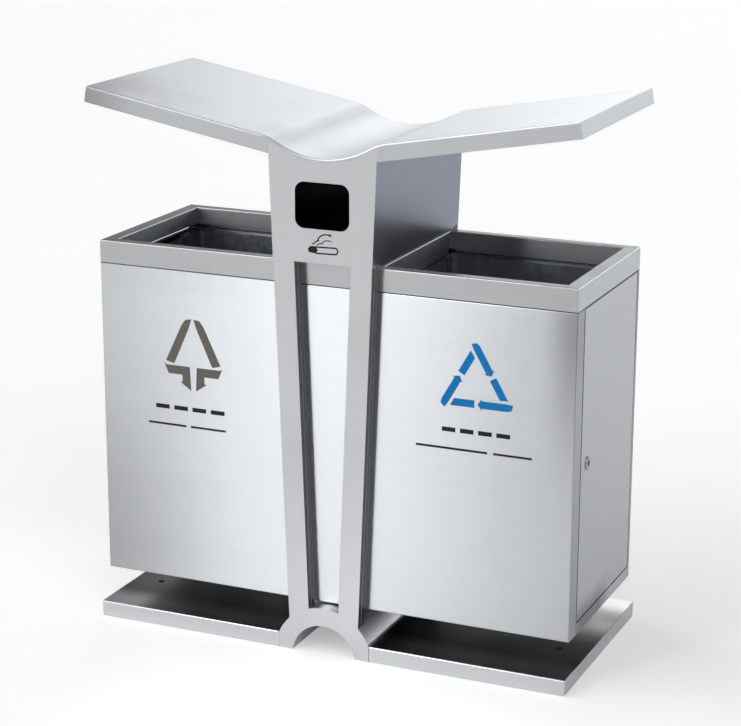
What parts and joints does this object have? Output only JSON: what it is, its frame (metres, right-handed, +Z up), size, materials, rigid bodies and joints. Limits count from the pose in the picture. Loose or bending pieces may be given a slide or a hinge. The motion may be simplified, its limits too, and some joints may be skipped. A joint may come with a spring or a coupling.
{
  "type": "litter bin",
  "caption": "Free-standing litter bin of folded stainless sheet: slotted column on an arch, gull-wing canopy, ash opening, lockable side doors and loose liners.",
  "frame": {"origin": "on the floor, under the middle of the base", "axes": "+X to the right seen from the front, +Y to the back, +Z up"},
  "size_m": [0.9232, 0.4, 1],
  "materials": {
    "satin_panel": "fine satin brushed stainless sheet",
    "satin_rim": "satin brushed stainless channel with welded mitres",
    "satin_canopy": "satin brushed stainless sheet",
    "satin_column": "vertically brushed stainless plate",
    "polished_base": "smooth bright stainless sheet",
    "galvanised_sheet": "dull galvanised sheet",
    "inner_steel": "mill-finish steel, unseen in use",
    "pin_steel": "turned steel",
    "lock_chrome": "chromed lock parts",
    "handle_wire": "zinc-plated wire"
  },
  "bodies": {
    "cabinet": {"base_left": "polished_base", "base_right": "polished_base", "base_ribs": "inner_steel", "anchor_tubes": "inner_steel", "arch_tunnel": "satin_column", "arch_cover": "satin_column", "arch_front_plate": "satin_column", "arch_rear_plate": "satin_column", "front_left_leg": "satin_column", "front_right_leg": "satin_column", "rear_left_leg": "satin_column", "rear_right_leg": "satin_column", "head_front_panel": "satin_column", "head_rear_panel": "satin_column", "head_left_side": "satin_column", "head_right_side": "satin_column", "head_floor": "inner_steel", "drawer_guides": "inner_steel", "canopy_skin": "satin_canopy", "left_wing_soffit": "satin_canopy", "right_wing_soffit": "satin_canopy", "left_wing_end": "satin_canopy", "right_wing_end": "satin_canopy", "canopy_ribs": "inner_steel", "body_front_panel": "satin_panel", "body_rear_panel": "satin_panel", "body_floor": "inner_steel", "left_partition": "satin_panel", "right_partition": "satin_panel", "left_door_sill": "satin_panel", "right_door_sill": "satin_panel", "liner_runners": "inner_steel", "door_pivot_plates": "inner_steel", "rim_front": "satin_rim", "rim_rear": "satin_rim", "rim_left_end": "satin_rim", "rim_right_end": "satin_rim", "rim_left_inner": "satin_rim", "rim_right_inner": "satin_rim", "left_liner": "galvanised_sheet", "right_liner": "galvanised_sheet", "liner_lugs": "galvanised_sheet", "liner_rivets": "galvanised_sheet"},
    "left_door": {"left_door": "satin_panel", "left_door_pins": "pin_steel", "left_lock_barrel": "lock_chrome", "left_lock_nut": "lock_chrome"},
    "right_door": {"right_door": "satin_panel", "right_door_pins": "pin_steel", "right_lock_barrel": "lock_chrome", "right_lock_nut": "lock_chrome"},
    "left_lock": {"left_lock_plug": "lock_chrome", "left_lock_cam": "lock_chrome"},
    "right_lock": {"right_lock_plug": "lock_chrome", "right_lock_cam": "lock_chrome"},
    "ash_drawer": {"ash_drawer": "galvanised_sheet", "ash_drawer_front": "satin_column"},
    "left_handle": {"left_liner_handle": "handle_wire"},
    "right_handle": {"right_liner_handle": "handle_wire"}
  },
  "joints": [
    {"name": "left_door_hinge", "type": "hinge", "parent": "cabinet", "child": "left_door", "pos_m": [-0.4485, 0.158, 0.394], "axis": [0, 0, -1], "range_deg": [0, 105]},
    {"name": "right_door_hinge", "type": "hinge", "parent": "cabinet", "child": "right_door", "pos_m": [0.4485, 0.158, 0.394], "axis": [0, 0, 1], "range_deg": [0, 105]},
    {"name": "left_lock_turn", "type": "hinge", "parent": "left_door", "child": "left_lock", "pos_m": [-0.4357, -0.098, 0.394], "axis": [1, 0, 0], "range_deg": [0, 90]},
    {"name": "right_lock_turn", "type": "hinge", "parent": "right_door", "child": "right_lock", "pos_m": [0.4357, -0.098, 0.394], "axis": [1, 0, 0], "range_deg": [0, 90]},
    {"name": "ash_drawer_slide", "type": "slide", "parent": "cabinet", "child": "ash_drawer", "axis": [0, 1, 0], "range_m": [0, 0.33]},
    {"name": "left_handle_swing", "type": "hinge", "parent": "cabinet", "child": "left_handle", "pos_m": [-0.2621, 0.013, 0.6605], "axis": [-1, 0, 0], "range_deg": [0, 84]},
    {"name": "right_handle_swing", "type": "hinge", "parent": "cabinet", "child": "right_handle", "pos_m": [0.2621, 0.013, 0.6605], "axis": [-1, 0, 0], "range_deg": [0, 84]}
  ]
}
